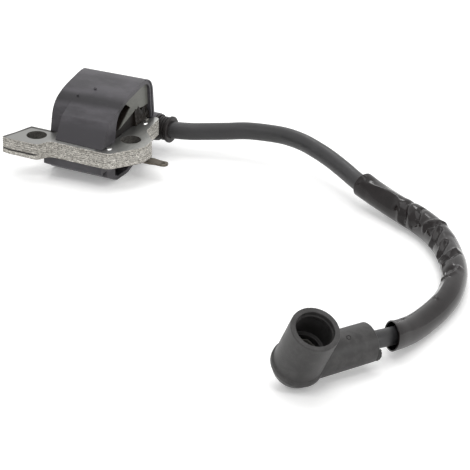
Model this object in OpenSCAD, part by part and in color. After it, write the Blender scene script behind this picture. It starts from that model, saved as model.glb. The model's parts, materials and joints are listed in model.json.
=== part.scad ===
// Ignition coil of a small two-stroke engine: laminated core, potted coil case,
// high-tension lead with a loose sleeve, and a right-angle spark plug boot.
// Coil frame: x along the coil barrel, y away from the open side, z up,
// with the left mounting hole on the z axis and the top sheet at z = 0.

/* [Core] */
// Thickness of one core sheet
sheet_t = 0.45; // [0.35:0.05:0.55]
// Sheets in the main stack
main_sheets = 11; // [9:2:13]
// Loose sheets under the main stack
bottom_sheets = 4; // [2:1:5]
// Diameter of the mounting holes
mount_hole_d = 8.2; // [6:0.1:8.6]
// Right mounting hole, past the mouth of the case
mount_past = 4.3; // [3.8:0.1:5.5]
// Right mounting hole, across the barrel
mount_dy = 14.2; // [13:0.1:15]
// Width of the core leg inside the coil
leg_w = 10; // [8:0.5:10.5]
// Inset of every second sheet
sheet_step = 0.12; // [0.05:0.01:0.2]
// Diameter of the core rivets
rivet_d = 1.8; // [1.4:0.1:2.2]
// Radius of the flywheel that the pole faces fit
flywheel_r = 50; // [45:1:60]

/* [Case] */
// Length of the case along the barrel
case_len = 29; // [27:0.5:29]
// Height of the case above the core's top
case_up = 17.9; // [17:0.1:19]
// Depth of the case below the core's top
case_down = 17; // [16.8:0.1:19]
// Wall of the case
case_wall = 1.6; // [1.2:0.1:1.7]
// Mould draft of the case, for each mm of its length
case_draft = 0.015; // [0.005:0.005:0.02]
// Running clearance between inserted pieces
fit_gap = 0.1; // [0.05:0.05:0.15]

/* [Winding] */
// Wall of the bobbins
bobbin_wall = 0.7; // [0.5:0.1:0.8]
// Depth of the primary winding
primary_depth = 1.0; // [0.6:0.1:1.1]
// Depth of the secondary winding
secondary_depth = 1.2; // [0.8:0.1:1.4]
// Sections of the secondary winding
sections = 5; // [3:1:7]

/* [Electronics] */
// Length of the circuit board
board_len = 16.5; // [14:0.5:16.5]
// Width of the circuit board
board_w = 22; // [20:0.5:23]
// Thickness of the circuit board
board_t = 1.2; // [0.8:0.1:1.4]
// Thickness of the kill terminal blade
blade_t = 0.8; // [0.5:0.1:0.8]
// Width of the kill terminal blade
blade_w = 5; // [4:0.1:5.6]

/* [Lead] */
// Diameter of the high-tension lead
lead_d = 7; // [6:0.1:7.2]
// Diameter of the copper conductor
wire_d = 1.4; // [1:0.1:2]
// Outer diameter of the lead gland body
gland_d = 9.6; // [9:0.1:9.8]
// Length of the lead gland outside the case
gland_len = 6.5; // [5.5:0.1:7]
// Inner diameter of the loose sleeve at its far end
sleeve_bore = 8.9; // [8.6:0.1:9.4]
// Wall of the loose sleeve
sleeve_wall = 0.5; // [0.3:0.05:0.6]
// Depth of the sleeve's creases
crease = 0.5; // [0:0.05:0.55]

/* [Plug boot] */
// Outer diameter of the boot at its mouth
boot_mouth_d = 19.2; // [18.6:0.1:20]
// Diameter of the plug socket
socket_d = 15; // [14:0.1:15.4]
// Depth of the plug socket down to the spring's seat
socket_depth = 13; // [11:0.5:13]
// Mouth of the boot above its elbow
boot_h = 22.9; // [22:0.1:24]
// End of the boot's arm from its elbow
arm_len = 31.8; // [30:0.1:34]
// Outer diameter of the boot's arm
arm_d = 15.4; // [14:0.1:15.6]
// Wire of the plug spring
spring_wire = 1; // [0.8:0.1:1.2]
// Coils of the plug spring
spring_turns = 2.5; // [1.5:0.5:2.5]

/* [Hidden] */

eps = 0.01;
round_fn = 64;
arc_steps = 8;

// Core levels
main_t = sheet_t * main_sheets;
bottom_t = sheet_t * bottom_sheets;
stack_t = main_t + bottom_t;
slit = 0.25;
leg_y = 22.5;
leg_z = -stack_t / 2;
pole_inset = 2.5;
flywheel_c = [-56, 15.5];
bar_y0 = -2.9;
bar_y1 = 6.7;
lug_y0 = -8.3;
lug_tip = [-11.4, -7.6];

// Case
case_x0 = 2;
mouth_x = case_x0 + case_len;
plate_x = mouth_x - 1.5;
floor_z = -case_down;
skirt_x = 9;
band_x = 4.4;
chamber_y = bar_y1 + 0.4;
potting_x = mouth_x - 1.2;
low_potting_x = mouth_x - 4.8;
wall_in = case_x0 + case_wall;

// Windings, round the core leg
tube_in = [leg_w + 4 * fit_gap, stack_t + 4 * fit_gap];
tube_out = tube_in + 2 * bobbin_wall * [1, 1];
primary_out = tube_out + 2 * primary_depth * [1, 1];
second_in = primary_out + 2 * fit_gap * [1, 1];
second_tube = second_in + 2 * bobbin_wall * [1, 1];
second_out = second_tube + 2 * secondary_depth * [1, 1];
flange_out = second_out + [0.8, 0.8];
wind_x0 = wall_in + 1.4;
wind_x1 = mouth_x - 5;
end_flange_t = 0.8;
mouth_flange_x = plate_x - 1.5;
mouth_flange_t = 1.2;
section_flange_t = 0.7;
section_x0 = wind_x0 + end_flange_t + fit_gap;
section_pitch = (wind_x1 - section_x0 - section_flange_t) / sections;
tube_r = 0.8;
primary_r = 1.4;
second_tube_r = 2;
winding_r = 5;
section_flange_r = winding_r + 0.6;

// Board and what stands on it
board_x0 = wall_in + 1.4;
board_x1 = board_x0 + board_len;
board_y0 = 14;
board_y1 = board_y0 + board_w;
board_z0 = leg_z + flange_out[1] / 2 + 0.3;
board_z = board_z0 + board_t;
pocket_x = board_x1 + 1.1;
strap_t = 0.4;
strap_z = 0.02;
strap_y0 = 33.6;
strap_w = 2;
riser_x = wind_x1 + 0.6;
riser_y = 31;
riser_w = 2;
blade_y = 19.2;
blade_z = leg_z - tube_out[1] / 2 - 1.9;
blade_hole_x = mouth_x + 16.3;
blade_neck = 1.1;
blade_end_x = blade_hole_x + (blade_w - blade_neck) / 2;
blade_hole_d = 1.6;

// Lead gland on the back wall, and the lead's bore in it
gland_y = 44.6;
gland_z = -6.8;
gland_x = mouth_x - 0.5;
gland_flange_d = gland_d + 1.2;
boss_d = gland_flange_d + 0.4;
boss_x = 14;
boss_web = 8.8;
lead_x0 = boss_x + 3;
lead_wall_gap = 0.1;
bore_d = lead_d + 2 * fit_gap;
pin_d = 1;
pin_x1 = lead_x0 + 4;
link_x = lead_x0 - 1.2;

// Boot: elbow, heading of the arm, tilt of the socket
elbow_r = 9.4;
elbow = [183.5, -120.3, floor_z + elbow_r];
arm_heading = 61.4;
arm_rise = 1;
socket_tilt = 34;
arm_dir = [cos(arm_rise) * cos(arm_heading), cos(arm_rise) * sin(arm_heading), sin(arm_rise)];
lead_stop = 12;
spring_d = 9.6;
spring_pitch = spring_wire + 0.5;
spring_rings = 8;
seat_d = 12;
seat_depth = 4.6;
prong_len = lead_stop + 6;
channel_d = spring_wire + 1.4;

// Free stretch of the lead's route, from the gland to the boot
free_route = [[43.5, 46.4, -6.8], [48.5, 48.4, -6.6], [58, 51.6, -5.7], [67.5, 54.2, -4.6],
              [81, 54.6, -3.6], [91.5, 52.2, -3.2], [100, 49, -3.6], [108.5, 45.6, -4.7],
              [117, 41.6, -6.2], [125, 37.4, -7.6], [134.6, 33.2, -9.4], [144.4, 29, -10.8],
              [152.8, 25.4, -11.5], [161.5, 21.6, -11.9], [170, 16.2, -12], [178, 9, -12],
              [185, 0.8, -12], [192, -9.6, -12], [197, -20, -12], [201, -32, -12],
              [203, -44, -12], [203.6, -56, -11.8], [203.6, -66, -11.2], [203.2, -75, -9.8],
              [202.6, -82, -8.2]];
route = concat([[lead_x0 + lead_wall_gap, gland_y, gland_z], [gland_x, gland_y, gland_z],
                [gland_x + gland_len, gland_y, gland_z]],
               free_route,
               [elbow + (arm_len + 3) * arm_dir, elbow + arm_len * arm_dir,
                elbow + lead_stop * arm_dir]);
lead_steps = 2;
lead_sides = 8;
sleeve_sides = 12;
sleeve_first = 12.4;
sleeve_last = 26.6;
sleeve_rings = 50;

// Base of the core past the mouth, and the rivets in it
mount_right = [mouth_x + mount_past, mount_dy];
base_x1 = mount_right[0] + 8.2;
base_x0 = mouth_x + 0.4;
bar_x1 = mouth_x + 3.6;
rivet_places = [[mouth_x + 1.2, 2], [mouth_x + 0.8, 31.3]];

// The coil's own box, without the lead: its bottom centre is the origin
box_x = [lug_tip[0], blade_end_x];
box_y = [lug_y0, gland_y + boss_d / 2];
origin_shift = [-(box_x[0] + box_x[1]) / 2, -(box_y[0] + box_y[1]) / 2, -floor_z];

// ---- Outline functions: a corner is [x, y, radius], listed anticlockwise ----

function xy(p) = [p[0], p[1]];
function unit(v) = v / norm(v);
function at(p, i) = p[(i + len(p)) % len(p)];
function turn(a, b, c) = (b[0] - a[0]) * (c[1] - b[1]) - (b[1] - a[1]) * (c[0] - b[0]);
function left_of(a, b) = unit([a[1] - b[1], b[0] - a[0]]);

// Moves every edge of an outline inwards by d
function inset(p, d) = [for (i = [0 : len(p) - 1])
    let (a = xy(at(p, i - 1)), b = xy(at(p, i)), c = xy(at(p, i + 1)),
         n = left_of(a, b), m = left_of(b, c), q = b + (n + m) * d / (1 + n * m),
         r = at(p, i)[2])
    [q[0], q[1], r == 0 ? 0 : turn(a, b, c) > 0 ? max(r - d, 0.2) : r + d]];

// Draws an outline in for mould draft, with its bottom kept level
function drafted(p, d) = [for (q = inset(p, d)) [q[0], q[1] - d, q[2]]];

// Rounds one corner with an arc
function arc_corner(a, b, c, r) = let (
    u = unit(a - b), v = unit(c - b), half = acos(u * v) / 2,
    mid = b + unit(u + v) * r / sin(half), p0 = b + u * r / tan(half) - mid,
    sweep = (turn(a, b, c) > 0 ? 1 : -1) * (180 - 2 * half))
    [for (k = [0 : arc_steps]) let (t = sweep * k / arc_steps)
        mid + [p0[0] * cos(t) - p0[1] * sin(t), p0[0] * sin(t) + p0[1] * cos(t)]];

// Rounds all corners that have a radius
function rounded(p) = [for (i = [0 : len(p) - 1])
    let (a = xy(at(p, i - 1)), b = xy(at(p, i)), c = xy(at(p, i + 1)), r = p[i][2])
    each (r > 0 ? arc_corner(a, b, c, r) : [b])];

// ---- Solids from sections ----

function ring_sides(rings, n, flip) = [for (i = [0 : rings - 2], j = [0 : n - 1])
    let (a = i * n + j, b = i * n + (j + 1) % n, c = a + n, d = b + n)
    each (flip ? [[a, b, c], [b, d, c]] : [[a, c, b], [b, c, d]])];

// Solid between two outlines with the same corners, at two places along x
module loft_x(x0, outline0, x1, outline1) {
    p0 = rounded(outline0);
    p1 = rounded(outline1);
    n = len(p0);
    polyhedron(concat([for (p = p0) [x0, p[0], p[1]]], [for (p = p1) [x1, p[0], p[1]]]),
               concat(ring_sides(2, n, false), [[for (i = [0 : n - 1]) i]],
                      [[for (i = [n - 1 : -1 : 0]) n + i]]), convexity = 6);
}

// Straight extrusion along x of a (y, z) outline
module along_x(x0, x1) {
    translate([x0, 0, 0]) rotate([90, 0, 90]) linear_extrude(x1 - x0) children();
}

// Rectangle centred on the coil leg, seen along x
module leg_rect(size, r) {
    c = [leg_y, leg_z];
    h = size / 2;
    polygon(rounded([[c[0] - h[0], c[1] - h[1], r], [c[0] + h[0], c[1] - h[1], r],
                     [c[0] + h[0], c[1] + h[1], r], [c[0] - h[0], c[1] + h[1], r]]));
}

module sleeve_x(x0, x1, outer, r_out, inner, r_in) {
    along_x(x0, x1) difference() {
        leg_rect(outer, r_out);
        leg_rect(inner, r_in);
    }
}

module block(p0, p1) {
    translate(p0) cube(p1 - p0);
}

// ---- Core ----

core_outline = [[lug_tip[0], lug_tip[1], 0], [lug_tip[0] + 3.4, lug_y0, 0.6],
                [5.2, lug_y0, 2.5], [7.8, bar_y0, 3], [bar_x1, bar_y0, 3.6],
                [base_x1, mount_dy - 4.8, 6.5], [base_x1, mount_dy + 3.2, 4.5],
                [bar_x1 + 1.6, 24.8, 6], [bar_x1, 38.9, 2], [base_x0, 38.9, 0],
                [base_x0, 36.4, 0], [plate_x, 36.4, 0], [plate_x, leg_y + leg_w / 2, 0],
                [-8, leg_y + leg_w / 2, 0], [-8, leg_y - leg_w / 2, 0],
                [plate_x, leg_y - leg_w / 2, 0], [plate_x, bar_y1, 1.2], [-6.4, bar_y1, 0]];

module core_sheet(step) {
    difference() {
        polygon(rounded(inset(core_outline, step)));
        translate(flywheel_c) circle(r = flywheel_r + step, $fn = 180);
        intersection() {
            translate(flywheel_c) circle(r = flywheel_r + pole_inset + step, $fn = 180);
            translate([-20, 12]) square([30, 20]);
        }
    }
}

module mount_holes() {
    for (p = [[0, 0], mount_right])
        translate([p[0], p[1], -stack_t - 1])
            cylinder(d = mount_hole_d, h = stack_t + 2, $fn = round_fn);
}

module rivet_holes(d) {
    for (p = rivet_places)
        translate([p[0], p[1], -stack_t - 1]) cylinder(d = d, h = stack_t + 2, $fn = 24);
}

module core_laminations() {
    color([0.66, 0.65, 0.61]) difference() {
        union() {
            translate([0, 0, -main_t]) linear_extrude(main_t) core_sheet(sheet_step);
            for (i = [0 : 2 : main_sheets - 1])
                translate([0, 0, -(i + 1) * sheet_t]) linear_extrude(sheet_t) core_sheet(0);
        }
        mount_holes();
        rivet_holes(rivet_d + 2 * fit_gap);
        block([lug_tip[0] - 2, lug_y0 - 1, -main_t - 1], [5, bar_y0 - 0.6, -main_t + slit]);
    }
}

module core_bottom_sheets() {
    color([0.72, 0.71, 0.68]) difference() {
        translate([0, 0, -stack_t]) linear_extrude(bottom_t) core_sheet(0);
        mount_holes();
        rivet_holes(rivet_d + 2 * fit_gap);
    }
}

module core_rivets() {
    head_h = 0.4;
    color([0.85, 0.85, 0.84]) for (p = rivet_places) translate([p[0], p[1], 0]) {
        translate([0, 0, -stack_t - head_h]) cylinder(d = rivet_d, h = stack_t + 2 * head_h, $fn = 24);
        cylinder(d1 = rivet_d + 0.8, d2 = rivet_d - 0.4, h = head_h, $fn = 24);
        translate([0, 0, -stack_t - head_h])
            cylinder(d1 = rivet_d - 0.4, d2 = rivet_d + 0.8, h = head_h, $fn = 24);
    }
}

// ---- Case ----

barrel_outline = [[10.5, floor_z, 2], [18.5, floor_z, 6], [36.4, -11.4, 4], [39, -9.6, 1],
                  [39.6, 2, 0], [38.4, case_up - 0.1, 5.4], [31, case_up, 20],
                  [18.2, case_up - 2.2, 30], [9.6, case_up - 6, 10], [8.2, 6, 6],
                  [chamber_y, 0, 2], [chamber_y, -15.6, 1]];
skirt_outline = [[-1.4, 0.15, 0], [14, 0.15, 0], [14, case_up - 4.1, 0],
                 [4.5, case_up - 8.3, 1.5]];
band_outline = [[-2, -10.4, 0.8], [6.6, -15.2, 2], [10.8, floor_z + 0.02, 0],
                [14, floor_z + 1.2, 0], [14, -stack_t - fit_gap, 0], [-2, -stack_t - fit_gap, 0]];

// Straight chamber, so that the wall grows from the closed end to the mouth
module chamber(x0, x1) {
    inner = drafted(inset(barrel_outline, case_wall), case_draft * case_len / 2);
    along_x(x0, x1) polygon(rounded(inner));
}

// Boss for the lead on the back wall, with the web that carries it
module gland_boss() {
    translate([boss_x, gland_y, gland_z]) rotate([0, 90, 0])
        cylinder(d = boss_d, h = gland_x - boss_x, $fn = 32);
    block([boss_x, barrel_outline[4][0] - case_wall, gland_z - boss_web / 2],
          [gland_x, gland_y, gland_z + boss_web / 2]);
}

module coil_case() {
    slim = case_draft * case_len;
    color([0.23, 0.22, 0.25]) difference() {
        union() {
            loft_x(case_x0, drafted(barrel_outline, slim), mouth_x, barrel_outline);
            loft_x(skirt_x, drafted(skirt_outline, slim), mouth_x, skirt_outline);
            loft_x(band_x, band_outline, mouth_x, band_outline);
            gland_boss();
        }
        chamber(wall_in, mouth_x + eps);
        // Bore for the lead, the contact pin and its link
        translate([lead_x0, gland_y, gland_z]) rotate([0, 90, 0])
            cylinder(d = bore_d, h = 40, $fn = round_fn);
        hv_contact_pin_solid(fit_gap);
        // Channel for the front bar and window for the inner leg
        block([-20, -20, -stack_t - fit_gap], [mouth_x + 1, chamber_y, fit_gap + 0.05]);
        block([case_x0 - 1, leg_y - leg_w / 2 - fit_gap, -stack_t - fit_gap],
              [wall_in + 1, leg_y + leg_w / 2 + fit_gap, fit_gap]);
        // Notch in the mouth for the base of the core
        block([plate_x - 0.2, 0, -stack_t - fit_gap], [mouth_x + 1, 37.9, fit_gap + 0.05]);
        // Drain notch in the lower lip
        block([mouth_x - 1.6, -0.6, -14], [mouth_x + 1, 2.2, -10]);
    }
}

// Edge line of the mouth flange, and the open pocket above it, seen along the barrel
flange_line = [[12.2, 2.4], [27.5, 6.9], [33.2, 6.1]];
flange_foot = [[12.2, -12.6], [20, -14.2], [29, -11.4], [33.2, -10]];
pocket_outline = [[0, 2.2], [13.2, 2.2], [23.4, 9.4], [16.6, 14.6], [14, 18], [0, 18]];

module flange_profile() {
    polygon(concat(flange_foot, [flange_line[2], flange_line[1], flange_line[0]]));
}

module primary_bobbin() {
    color([0.13, 0.12, 0.12]) difference() {
        union() {
            along_x(wind_x0, mouth_flange_x + mouth_flange_t) leg_rect(tube_out, tube_r);
            along_x(wind_x0, wind_x0 + end_flange_t) leg_rect(primary_out, 1);
            along_x(mouth_flange_x, mouth_flange_x + mouth_flange_t) flange_profile();
        }
        along_x(wind_x0 - 1, mouth_x + 1) leg_rect(tube_in, 0);
        block([mouth_flange_x - 1, blade_y - blade_w / 2 - fit_gap, blade_z - blade_t - fit_gap],
              [plate_x + 1, blade_y + blade_w / 2 + fit_gap, blade_z + fit_gap]);
    }
}

module primary_winding() {
    color([0.72, 0.42, 0.2])
        sleeve_x(wind_x0 + end_flange_t, wind_x1, primary_out, primary_r, tube_out, tube_r);
}

module secondary_bobbin() {
    color([0.85, 0.82, 0.72]) union() {
        sleeve_x(section_x0, wind_x1, second_tube, second_tube_r, second_in, primary_r + fit_gap);
        for (i = [0 : sections]) let (x = section_x0 + i * section_pitch)
            sleeve_x(x, x + section_flange_t, flange_out, section_flange_r, second_in, primary_r + fit_gap);
    }
}

module secondary_winding() {
    color([0.62, 0.3, 0.14]) for (i = [0 : sections - 1])
        let (x = section_x0 + i * section_pitch + section_flange_t)
            sleeve_x(x, x + section_pitch - section_flange_t,
                     second_out, winding_r, second_tube, second_tube_r);
}

// ---- Electronics ----

module circuit_board() {
    color([0.2, 0.38, 0.2]) block([board_x0, board_y0, board_z0], [board_x1, board_y1, board_z]);
}

module power_transistor() {
    size = [10.2, 9.2, 4.4];
    tab = [2.8, size[1], 1.2];
    tab_hole_d = 1.4;
    color([0.1, 0.1, 0.1]) translate([board_x0 + 1.1, board_y0 + 2, board_z]) difference() {
        union() {
            cube(size);
            translate([size[0], 0, 0]) cube(tab);
        }
        translate([size[0] + tab[0] / 2, tab[1] / 2, -1]) cylinder(d = tab_hole_d, h = tab[2] + 2, $fn = 24);
    }
}

module control_chip() {
    body = [5, 3.8, 1.5];
    leg = [0.4, 1, 0.5];
    leg_pitch = 1.27;
    lift = 0.2;
    color([0.08, 0.08, 0.08]) translate([board_x0 + 1.2, board_y0 + 12.4, board_z]) {
        translate([0, leg[1] - 0.1, lift]) cube(body);
        for (i = [0 : 3], side = [0, 1])
            translate([leg[0] + i * leg_pitch, side * (body[1] + leg[1] - 0.2), 0]) cube(leg);
    }
}

module storage_capacitor() {
    size = [7, 3.6, 5.2];
    color([0.75, 0.55, 0.2]) translate([board_x0 + 8, board_y0 + 12, board_z])
        linear_extrude(size[2]) polygon(rounded([[0, 0, 1], [size[0], 0, 1],
                                                 [size[0], size[1], 1], [0, size[1], 1]]));
}

module board_resistors() {
    size = [1.6, 3, 0.6];
    color([0.15, 0.15, 0.16]) for (i = [0 : 2])
        translate([board_x0 + 0.8 + i * (size[0] + 1), board_y0 + 18.8, board_z]) cube(size);
}

module rectifier_diode() {
    body_d = 2.4;
    body_len = 4.6;
    pin_reach = 0.8;
    color([0.2, 0.2, 0.22]) translate([board_x0 + 9.2, board_y0 + 17.6, board_z + body_d / 2])
        rotate([0, 90, 0]) {
            cylinder(d = body_d, h = body_len, $fn = 24);
            translate([0, 0, -pin_reach]) cylinder(d = 0.7, h = body_len + 2 * pin_reach, $fn = 16);
        }
}

module primary_leads() {
    lead_r = 0.3;
    lead_x = wind_x1 + lead_r + 0.04;
    top = board_z + lead_r + 0.02;
    tube_top = leg_z + tube_out[1] / 2;
    color([0.78, 0.46, 0.22]) for (y = [25.4, 27.2]) {
        translate([lead_x, y, tube_top + 0.05]) cylinder(r = lead_r, h = top - tube_top, $fn = 16);
        translate([board_x1 - 1.4, y, top]) rotate([0, 90, 0])
            cylinder(r = lead_r, h = lead_x - board_x1 + 1.4, $fn = 16);
    }
}

module ground_strap() {
    down_x = plate_x - 1.2;
    color([0.8, 0.79, 0.76]) {
        block([board_x1 - 3, strap_y0, board_z], [down_x + strap_t, strap_y0 + strap_w, board_z + strap_t]);
        block([down_x, strap_y0, strap_z], [down_x + strap_t, strap_y0 + strap_w, board_z + strap_t]);
        block([down_x, strap_y0, strap_z], [mouth_x + fit_gap, strap_y0 + strap_w, strap_z + strap_t]);
    }
}

module kill_terminal() {
    y0 = blade_y - blade_w / 2;
    y1 = y0 + blade_w;
    narrow_x = blade_hole_x - 2.4;
    corner = 1.9;
    color([0.5, 0.46, 0.38]) difference() {
        union() {
            translate([0, 0, blade_z - blade_t]) linear_extrude(blade_t)
                polygon(rounded([[wind_x1 + 0.3, y0, 0], [narrow_x - 3, y0, 1],
                                 [narrow_x, y0 + blade_neck / 2, 2],
                                 [blade_end_x, y0 + blade_neck / 2, corner],
                                 [blade_end_x, y1 - blade_neck / 2, corner],
                                 [narrow_x, y1 - blade_neck / 2, 2], [narrow_x - 3, y1, 1],
                                 [wind_x1 + 1.8, y1, 0],
                                 [wind_x1 + 1.8, riser_y + riser_w, 0],
                                 [wind_x1 + 0.3, riser_y + riser_w, 0]]));
            block([riser_x, riser_y, blade_z - blade_t], [riser_x + 0.6, riser_y + riser_w, board_z + 0.6]);
            block([board_x1 - 1.5, riser_y, board_z], [riser_x + 0.6, riser_y + riser_w, board_z + 0.6]);
        }
        translate([blade_hole_x, blade_y, blade_z - 2]) cylinder(d = blade_hole_d, h = 4, $fn = 24);
    }
}

module hv_contact_pin_solid(grow) {
    d = pin_d + 2 * grow;
    y0 = leg_y + flange_out[0] / 2 + 0.3;
    translate([link_x - grow, gland_y, gland_z]) rotate([0, 90, 0])
        cylinder(d = d, h = pin_x1 - link_x + grow, $fn = 24);
    translate([link_x, gland_y, gland_z]) rotate([90, 0, 0])
        cylinder(d = d, h = gland_y - y0, $fn = 24);
}

module hv_contact_pin() {
    color([0.8, 0.66, 0.36]) hv_contact_pin_solid(0);
}

module potting_resin() {
    color([0.45, 0.46, 0.43]) difference() {
        chamber(wall_in, potting_x);
        hv_contact_pin_solid(0);
        along_x(wall_in - 1, potting_x + 1) leg_rect(tube_out, tube_r);
        along_x(wind_x0, wind_x0 + end_flange_t) leg_rect(primary_out, 1);
        along_x(mouth_flange_x, mouth_flange_x + mouth_flange_t) flange_profile();
        primary_winding();
        along_x(section_x0, wind_x1) leg_rect(second_tube, second_tube_r);
        for (i = [0 : sections]) let (x = section_x0 + i * section_pitch)
            along_x(x, x + section_flange_t) leg_rect(flange_out, section_flange_r);
        along_x(section_x0 + section_flange_t, wind_x1 - section_flange_t) leg_rect(second_out, winding_r);
        circuit_board();
        power_transistor();
        control_chip();
        storage_capacitor();
        board_resistors();
        rectifier_diode();
        primary_leads();
        ground_strap();
        kill_terminal();
        // Open pocket in front, and what stays bare in the mouth
        along_x(pocket_x, mouth_x + 1) polygon(pocket_outline);
        along_x(mouth_flange_x + mouth_flange_t, mouth_x + 1)
            polygon(concat([[-10, -30], [60, -30], [60, 5]], [flange_line[2], flange_line[1],
                           flange_line[0]], [[-10, 2.4]]));
        along_x(low_potting_x, mouth_x + 1) translate([-10, -30]) square([70, 30 + fit_gap]);
    }
}

// ---- Lead ----

module lead_gland() {
    groove = 0.35;
    ribs = 4;
    flange_t = 1;
    rib_pitch = (gland_len - 2 * flange_t) / ribs;
    profile = concat([[bore_d / 2, 0], [gland_flange_d / 2, 0], [gland_flange_d / 2, flange_t]],
        [for (i = [0 : ribs - 1]) let (z = flange_t + i * rib_pitch)
            each [[gland_d / 2 - groove, z], [gland_d / 2 - groove, z + rib_pitch * 0.3],
                  [gland_d / 2, z + rib_pitch * 0.4], [gland_d / 2, z + rib_pitch]]],
        [[gland_flange_d / 2, gland_len - flange_t], [gland_flange_d / 2, gland_len - 0.3],
         [gland_flange_d / 2 - 0.3, gland_len], [bore_d / 2, gland_len]]);
    color([0.23, 0.22, 0.25]) translate([gland_x, gland_y, gland_z]) rotate([0, 90, 0])
        rotate_extrude($fn = 48) polygon(profile);
}

// Smooth curve through the route's points
function curve_at(p, u) = let (
    i = min(floor(u), len(p) - 2), t = u - i,
    a = p[max(i - 1, 0)], b = p[i], c = p[i + 1], d = p[min(i + 2, len(p) - 1)])
    0.5 * (2 * b + (c - a) * t + (2 * a - 5 * b + 4 * c - d) * t * t
           + (3 * b - a - 3 * c + d) * t * t * t);
function curve(p, u0, u1, n) = [for (k = [0 : n]) curve_at(p, u0 + (u1 - u0) * k / n)];
function heading(p, i) = unit(p[min(i + 1, len(p) - 1)] - p[max(i - 1, 0)]);
function side_of(t) = unit(cross(t, [0, 0, 1]));

// One ring of a tube: radii lists the ring's radius for each side
function ring(p, i, radii) = let (t = heading(p, i), s = side_of(t), u = cross(s, t), n = len(radii))
    [for (j = [0 : n - 1]) let (a = 360 * j / n) p[i] + radii[j] * (cos(a) * s + sin(a) * u)];

// Rod swept along a path
module swept_rod(path, r, sides) {
    n = len(path);
    radii = [for (j = [1 : sides]) r];
    polyhedron([for (i = [0 : n - 1]) each ring(path, i, radii)],
               concat(ring_sides(n, sides, true), [[for (j = [sides - 1 : -1 : 0]) j]],
                      [[for (j = [0 : sides - 1]) (n - 1) * sides + j]]), convexity = 8);
}

// Tube swept along a path: outer and inner list each ring's radii
module swept_tube(path, outer, inner) {
    n = len(path);
    m = len(outer[0]);
    base = n * m;
    last = (n - 1) * m;
    polyhedron(concat([for (i = [0 : n - 1]) each ring(path, i, outer[i])],
                      [for (i = [0 : n - 1]) each ring(path, i, inner[i])]),
        concat(ring_sides(n, m, true),
               [for (f = ring_sides(n, m, false)) f + base * [1, 1, 1]],
               [for (j = [0 : m - 1]) let (k = (j + 1) % m)
                   each [[j, base + j, k], [k, base + j, base + k],
                         [last + j, last + k, base + last + j],
                         [last + k, base + last + k, base + last + j]]]), convexity = 8);
}

lead_path = curve(route, 0, len(route) - 1, lead_steps * (len(route) - 1));

module lead_jacket() {
    skin = [for (p = lead_path) [for (j = [1 : lead_sides]) lead_d / 2]];
    core = [for (p = lead_path) [for (j = [1 : lead_sides]) wire_d / 2]];
    color([0.23, 0.22, 0.23]) swept_tube(lead_path, skin, core);
}

module lead_conductor() {
    inner = [for (i = [1 : len(lead_path) - 2]) lead_path[i]];
    from_pin = concat([[pin_x1 + 0.1, gland_y, gland_z]], inner);
    color([0.75, 0.45, 0.25]) swept_rod(from_pin, wire_d / 2, lead_sides);
}

// Loose sleeve: wider at its near end, creased on the inside of its bend
function crease_at(u, a) = let (k = u * 34) max(0, cos(a)) * max(0, sin(180 * k))
    * max(0, 1 - abs(u - 0.5) / 0.3);
function sleeve_r(u, a) = sleeve_bore / 2 + 0.1 * u + 1.1 * pow(max(0, (u - 0.82) / 0.18), 2)
    - crease * crease_at(u, a);

module protective_sleeve() {
    path = curve(route, sleeve_first, sleeve_last, sleeve_rings);
    inner = [for (i = [0 : sleeve_rings]) [for (j = [0 : sleeve_sides - 1])
        sleeve_r(i / sleeve_rings, 360 * j / sleeve_sides)]];
    outer = [for (row = inner) [for (r = row) r + sleeve_wall]];
    color([0.18, 0.16, 0.17]) swept_tube(path, outer, inner);
}

// ---- Boot ----

module at_elbow() {
    translate(elbow) rotate([socket_tilt, -arm_rise, arm_heading]) children();
}

module plug_boot() {
    rim = 0.8;
    lip = 0.5;
    color([0.2, 0.2, 0.2]) at_elbow() difference() {
        union() {
            sphere(r = elbow_r, $fn = 48);
            cylinder(r1 = elbow_r, r2 = boot_mouth_d / 2 - 0.2, h = boot_h - 3, $fn = 64);
            translate([0, 0, boot_h - 3]) cylinder(d = boot_mouth_d, h = 3 - rim / 2, $fn = 64);
            translate([0, 0, boot_h - rim / 2])
                cylinder(d1 = boot_mouth_d, d2 = boot_mouth_d - rim, h = rim / 2, $fn = 64);
            rotate([0, 90, 0]) cylinder(r1 = arm_d / 2 + 0.3, r2 = arm_d / 2, h = arm_len - 0.4, $fn = 64);
            translate([arm_len - 0.4, 0, 0]) rotate([0, 90, 0])
                cylinder(d1 = arm_d, d2 = arm_d - 0.8, h = 0.4, $fn = 64);
        }
        // Plug socket, spring seat and flared mouth
        translate([0, 0, boot_h - socket_depth]) cylinder(d = socket_d, h = socket_depth + 1, $fn = 64);
        translate([0, 0, seat_depth]) cylinder(d = seat_d, h = boot_h, $fn = 48);
        translate([0, 0, boot_h - lip])
            cylinder(d1 = socket_d, d2 = socket_d + 2 * lip, h = lip + eps, $fn = 64);
        // Lead bore and the prong's channel
        translate([lead_stop - 0.1, 0, 0]) rotate([0, 90, 0]) cylinder(d = bore_d, h = arm_len, $fn = 64);
        cylinder(d = channel_d, h = boot_h, $fn = 24);
        rotate([0, 90, 0]) cylinder(d = channel_d, h = arm_len, $fn = 24);
    }
}

// Spring that grips the plug, with a prong into the conductor
spring_base = seat_depth + spring_wire / 2 + 0.3;
spring_path = [for (k = [0 : spring_rings * spring_turns]) let (a = 360 * k / spring_rings)
    [spring_d / 2 * cos(a), spring_d / 2 * sin(a), spring_base + spring_pitch * k / spring_rings]];

// Least gap of a wound wire to its own coils
function least_gap(path, apart, d) = min([for (i = [0 : len(path) - apart - 1],
    j = [i + apart : len(path) - 1]) norm(path[i] - path[j])]) - d;

echo(plug_spring_least_gap = least_gap(spring_path, spring_rings / 2, spring_wire));

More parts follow.
